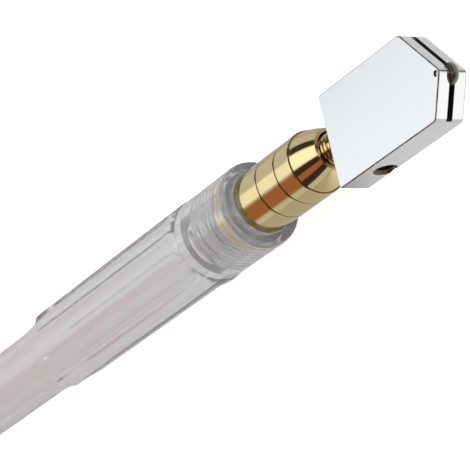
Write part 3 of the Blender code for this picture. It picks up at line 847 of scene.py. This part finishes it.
# %% Springs
def spring(name, radius, wire, front, rear, turns, steps=40, sides=14):
    """Round wire wound from one station to another, its ends closed."""
    deselect()
    ops.mesh.primitive_circle_add(
        vertices=sides, radius=wire * MM, fill_type="NOTHING", location=on_axis(front, 0, radius),
        rotation=(math.pi / 2, 0, 0),
    )
    made = settle(name)
    made.data.transform(Matrix.Translation(-on_axis(0)))
    made.location = on_axis(0)
    all_steps = round(steps * turns)
    apply_modifier(
        made, "SCREW", axis="X", angle=math.tau * turns, screw_offset=(rear - front) * MM,
        steps=all_steps, render_steps=all_steps, use_merge_vertices=False, iterations=1,
    )
    seal_ends(made)
    return smooth(made, 50)


coil = spring("return_spring", 1.86, 0.22, -0.28, -6.43, 8.5)
dress(coil, "handle", "gold_spring_wire", spring_brass, "stem_spring")
tuple(on_axis(-6.65))
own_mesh(coil)
valve_coil = spring("ball_spring", 1.1, 0.15, -19.4, -24.8, 7, 32, 10)
dress(valve_coil, "handle", "bright_steel", steel, "valve_spring")
tuple(on_axis(-24.95))
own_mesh(valve_coil)

# %% [markdown]
# ## The nose holder
# This is the brass front of the tool. It has a rolled lip round the spring, a domed nose with a small step
# behind it, two fine decorative grooves, and a thread that screws into the clear collar.

# %% Nose
LIP_FRONT, LIP_RADIUS = -1.8, 2.84
DOME_RADIUS, DOME_REAR, DOME_BULGE = 4.02, -5.66, 0.5
NOSE_RADIUS, NOSE_SHOULDER, NOSE_REAR = 4.22, -18.8, -22.0
GROOVES, GROOVE_HALF, GROOVE_DEPTH = (-8.9, -13.05), 0.15, 0.28
BODY_THREAD_PITCH = 0.9
outline = [(LIP_FRONT, 2.4), (LIP_FRONT, LIP_RADIUS - 0.05)]
for step in range(13):
    share = step / 12
    dome = LIP_RADIUS + (DOME_RADIUS - LIP_RADIUS) * share * (1 + DOME_BULGE * (1 - share))
    outline.append((LIP_FRONT - 0.15 + (DOME_REAR - LIP_FRONT + 0.15) * share, dome))
outline += [(DOME_REAR - 0.03, NOSE_RADIUS - 0.08), (DOME_REAR - 0.12, NOSE_RADIUS)]
for groove in GROOVES:
    outline += [(groove + GROOVE_HALF, NOSE_RADIUS), (groove, NOSE_RADIUS - GROOVE_DEPTH),
                (groove - GROOVE_HALF, NOSE_RADIUS)]
outline += [
    (NOSE_SHOULDER, NOSE_RADIUS), (NOSE_SHOULDER, 3.55), (NOSE_REAR + 0.2, 3.58), (NOSE_REAR, 3.4),
    (NOSE_REAR, 2.8), (-12.0, 2.8), (-12.0, 1.56), (-10.0, 1.56), (-10.0, 2.15), (-9.0, 2.15), (-9.0, 1.56),
    (-7.0, 1.56), (-7.0, 2.4),
]
nose = lathe("nose_barrel", outline, edge=0.025, steps=144)
combine(nose, thread_ridge("nose_thread", -21.95, -20.15, 3.5, 3.9, BODY_THREAD_PITCH, steps=72), "UNION")
dress(smooth(nose, 28), "handle", "polished_brass", brass, "nose_holder")

# %% [markdown]
# ## The clear handle
# The handle is one moulding: a collar with a thread inside for the nose, a grip with five raised lands, and a
# long barrel that holds the oil. It is turned as a tube with many rings of points. The lands are raised by
# scaling parts of the grip's rings outwards, less and less down each flank, so that the flanks end softly.

# %% Handle tube
COLLAR_FRONT, COLLAR_REAR, COLLAR_RADIUS = -18.0, -30.3, 5.7
GRIP_FLOOR, GRIP_TOP = 5.55, 5.8
TAPER_FRONT, TAPER_REAR = -66.0, -78.0
BARREL_RADIUS, BARREL_REAR_RADIUS, HANDLE_REAR = 4.8, 4.7, -144.0
BORE_RADIUS, CAP_BORE_RADIUS, THREAD_ROOT = 3.3, 3.6, 4.28
LAND_RINGS = (-34.0, -36.0, -42.0, -48.0, -54.0, -60.0, TAPER_FRONT, -68.0, -69.8, -70.9)
LAND_END = -72.0


def grip_radius(station):
    """The floor of the grip: level, then tapering smoothly into the barrel."""
    share = min(max((TAPER_FRONT - station) / (TAPER_FRONT - TAPER_REAR), 0), 1)
    return GRIP_FLOOR + (BARREL_RADIUS - GRIP_FLOOR) * share * share * (3 - 2 * share)


outline = [
    (COLLAR_FRONT, 4.32), (-18.25, 5.1), (-18.55, 5.48), (-19.0, 5.66), (-19.6, COLLAR_RADIUS),
    (COLLAR_REAR + 0.1, COLLAR_RADIUS - 0.04), (COLLAR_REAR - 0.15, 5.58), (COLLAR_REAR - 0.5, 5.7),
    (COLLAR_REAR - 1.0, 5.78), (-32.1, GRIP_TOP),
]
outline += [(station, grip_radius(station)) for station in LAND_RINGS + (LAND_END, -74.0, -76.0, TAPER_REAR)]
outline += [(-111.0, (BARREL_RADIUS + BARREL_REAR_RADIUS) / 2), (HANDLE_REAR, BARREL_REAR_RADIUS)]
outline += [
    (HANDLE_REAR, CAP_BORE_RADIUS), (-135.8, CAP_BORE_RADIUS), (-135.4, BORE_RADIUS), (-29.8, BORE_RADIUS),
    (-29.7, THREAD_ROOT), (-19.7, THREAD_ROOT), (-19.6, 4.32),
]
handle = lathe("clear_handle", outline, edge=0, steps=240)
print("handle tube:", len(handle.data.polygons), "faces")

# %% Lands
def land_angle(point):
    """Degrees round the tool from the middle of the nearest land."""
    pitch = 360 / LAND_COUNT
    angle = math.degrees(math.atan2(point.z - AXIS_HEIGHT, point.y))
    return abs((angle - LAND_ANGLE + pitch / 2) % pitch - pitch / 2)


def raise_land(station, low_angle, high_angle, share):
    """Scales part of one ring of points outwards from the axis, by its share of the way to the land's top."""
    def chosen(vert):
        on_ring = abs(station_of(vert.co.x) - station) < 0.02
        in_column = low_angle <= land_angle(vert.co) < high_angle
        outside = math.hypot(vert.co.y, vert.co.z - AXIS_HEIGHT) > (BORE_RADIUS + 1) * MM
        return on_ring and in_column and outside

    found = pick(handle, "verts", chosen)
    floor_radius = grip_radius(station)
    size = 1 + (GRIP_TOP - floor_radius) / floor_radius * share
    ops.transform.resize(value=(1, size, size), center_override=on_axis(station))
    ops.object.mode_set(mode="OBJECT")
    return found


raised = 0
column_width = LAND_FLANK / LAND_COLUMNS
for station in LAND_RINGS:
    raised += raise_land(station, 0, LAND_HALF, 1.0)
    for column in range(LAND_COLUMNS):
        low_angle = LAND_HALF + column_width * column
        middle = (column + 0.5) / LAND_COLUMNS
        share = 1 - middle * middle * (3 - 2 * middle)
        raised += raise_land(station, low_angle, low_angle + column_width, share)
print("points raised into lands:", raised)

# %% Thread inside the collar
collar_thread = thread_ridge(
    "collar_thread", -27.8, -20.6, THREAD_ROOT + 0.15, 3.75, BODY_THREAD_PITCH, steps=72
)
combine(handle, collar_thread, "UNION")
dress(smooth(handle, 24), "handle", "clear_plastic", acrylic, "handle")

# %% [markdown]
# ## The filler cap
# The cap screws into the rear of the handle. Its plug is threaded and hollow, and its grip has twenty shallow
# flutes. A fine hole with a rubber umbrella valve lets air in as the oil runs down.

# %% Filler cap
CAP_FACE, CAP_REAR, CAP_RADIUS, CAP_FLUTES = -145.0, -151.9, 4.88, 20
PLUG_FRONT, PLUG_FLOOR, VENT_RADIUS = -137.0, -143.0, 0.45
cap = lathe("cap_moulding", [
    (PLUG_FRONT, 2.2), (PLUG_FRONT, 3.0), (PLUG_FRONT - 0.3, 3.2), (CAP_FACE, 3.2),
    (CAP_FACE, CAP_RADIUS - 0.1), (CAP_FACE - 0.3, CAP_RADIUS), (-150.6, CAP_RADIUS), (-151.2, 4.6),
    (-151.6, 4.1), (CAP_REAR, 3.8),
    (CAP_REAR, 1.4), (-151.3, 1.0), (-151.3, VENT_RADIUS), (PLUG_FLOOR, VENT_RADIUS), (PLUG_FLOOR, 2.2),
], edge=0.1, steps=120, rounds=3)
combine(cap, thread_ridge("cap_thread", -144.2, -138.0, 3.1, 3.5, 1.0, steps=60), "UNION")
FLUTE_MIDDLE, FLUTE_LENGTH, FLUTE_RADIUS, FLUTE_OFFSET = -148.6, 5.6, 0.56, 5.32
deselect()
for turn in range(CAP_FLUTES):
    angle = math.tau * (turn + 0.5) / CAP_FLUTES
    at = on_axis(FLUTE_MIDDLE, FLUTE_OFFSET * math.cos(angle), FLUTE_OFFSET * math.sin(angle))
    ops.mesh.primitive_cylinder_add(
        vertices=20, radius=FLUTE_RADIUS * MM, depth=FLUTE_LENGTH * MM, location=at,
        rotation=(0, math.pi / 2, 0),
    )
    settle(f"flute_{turn}")
for other in bpy.data.objects:
    other.select_set(other.name.startswith("flute_"))
bpy.context.view_layer.objects.active = bpy.data.objects["flute_0"]
ops.object.join()
combine(cap, bpy.context.object)
dress(smooth(close_up(cap), 30), "filler_cap", "red_plastic", red_cap, "filler_cap")

# %% [markdown]
# ## Seals and inner pieces
# The rings on the stem and the nose are round in section, so each is a torus, flattened a little where it is
# squeezed. The cap's flat seal and its vent valve are turned. So are the small pieces inside the nose: a clip,
# a washer, a valve seat, and the clear cage that holds the valve in. The valve's ball is a fine sphere.

# %% Rings
def rubber_ring(name, station, radius, wire, node, slot="black_rubber", finish=rubber, flat=1.0):
    deselect()
    ops.mesh.primitive_torus_add(
        major_radius=radius * MM, minor_radius=wire * MM, major_segments=72, minor_segments=16,
        location=on_axis(station), rotation=(0, math.pi / 2, 0),
    )
    ring = settle(name)
    pick(ring, "verts", lambda v: True)
    ops.transform.resize(value=(flat, 1, 1), center_override=on_axis(station))
    ops.object.mode_set(mode="OBJECT")
    return dress(smooth(ring, 60), "handle", slot, finish, node)


rubber_ring("stem_seal", -9.5, 1.84, 0.26, "stem_o_ring", flat=0.95)
rubber_ring("nose_seal", -19.22, 3.9, 0.3, "nose_gasket", "clear_silicone", silicone, 0.9)
gasket = lathe("cap_seal", [
    (-144.05, 3.58), (-144.05, 4.55), (-144.95, 4.55), (-144.95, 3.58),
], edge=0.2, steps=80, rounds=4)
dress(smooth(gasket, 40), "cap_gasket", "black_rubber", rubber, "cap_gasket")
vent = lathe("vent_umbrella", [
    (-142.25, 0), (-142.3, 0.5), (-142.45, 1.0), (-142.8, 1.3), (-142.95, 1.25), (-142.95, 0.35),
    (-147.0, 0.35), (-147.0, 0),
], edge=0.05, steps=48, closed=False)
dress(smooth(vent, 40), "filler_cap", "black_rubber", rubber, "vent_valve")

# %% Small turned pieces
washer = lathe("thrust_washer", [(-6.95, 1.58), (-6.95, 2.3), (-6.7, 2.3), (-6.7, 1.58)], edge=0.04, steps=72)
dress(smooth(washer), "handle", "bright_steel", steel, "spring_washer")
clip = lathe("retaining_clip", [
    (-12.16, 1.16), (-12.16, 2.3), (-12.69, 2.3), (-12.69, 1.16),
], edge=0.05, steps=72)
combine(clip, bar("clip_gap", 0.2, 3.0, 0.55, "Z", on_axis(-12.4), 24))
dress(smooth(clip), "stem", "bright_steel", steel, "stem_clip")
seat = lathe("seat_ring", [
    (-15.7, 1.2), (-15.7, 2.72), (-17.2, 2.72), (-17.2, 1.45), (-16.95, 1.2),
], edge=0.06, steps=72)
dress(smooth(seat), "handle", "white_plastic", seat_white, "valve_seat")
deselect()
ops.mesh.primitive_ico_sphere_add(subdivisions=4, radius=1.5 * MM, location=on_axis(-18.15))
ball = settle("check_ball")
pick(ball, "verts", lambda v: True)
ops.mesh.vertices_smooth(factor=0.2)
ops.object.mode_set(mode="OBJECT")
dress(smooth(ball, 60), "valve_ball", "bright_steel", steel, "valve_ball")
cage = lathe("cage_tube", [
    (-19.6, 1.65), (-19.6, 2.52), (-19.8, 2.72), (-22.05, 2.72), (-22.05, 3.5), (-22.25, 3.6), (-27.5, 3.6),
    (-27.8, 3.4), (-28.5, 3.3), (-28.5, 1.3), (-26.7, 1.3), (-26.5, 0.8), (-25.0, 0.8), (-25.0, 1.65),
], edge=0.06, steps=72)
dress(smooth(cage, 24), "handle", "clear_plastic", acrylic, "valve_cage")

# %% [markdown]
# ## The wick
# A twist of cotton fills the stem and carries oil to the wheel. Three strands are wound like a rope. Each is
# a small circle screwed along the centre line, and together they keep inside the oil way.

# %% Wick
WICK_FRONT, WICK_REAR, WICK_TWISTS = 16.8, -13.0, 12
STRANDS, STRAND_OFFSET, STRAND_RADIUS = 3, 0.21, 0.2
to_axis, from_axis = Matrix.Translation(on_axis(0)), Matrix.Translation(-on_axis(0))
strands = []
for strand in range(STRANDS):
    made = spring(
        f"strand_{strand}", STRAND_OFFSET, STRAND_RADIUS, WICK_REAR, WICK_FRONT, WICK_TWISTS, 16, 10
    )
    made.data.transform(to_axis @ Matrix.Rotation(math.tau * strand / STRANDS, 4, "X") @ from_axis)
    strands.append(made)
deselect()
for made in strands:
    made.select_set(True)
bpy.context.view_layer.objects.active = strands[0]
ops.object.join()
wick = bpy.context.object
wick.name = wick.data.name = "cotton_wick"
dress(wick, "stem", "cotton", cotton, "wick")
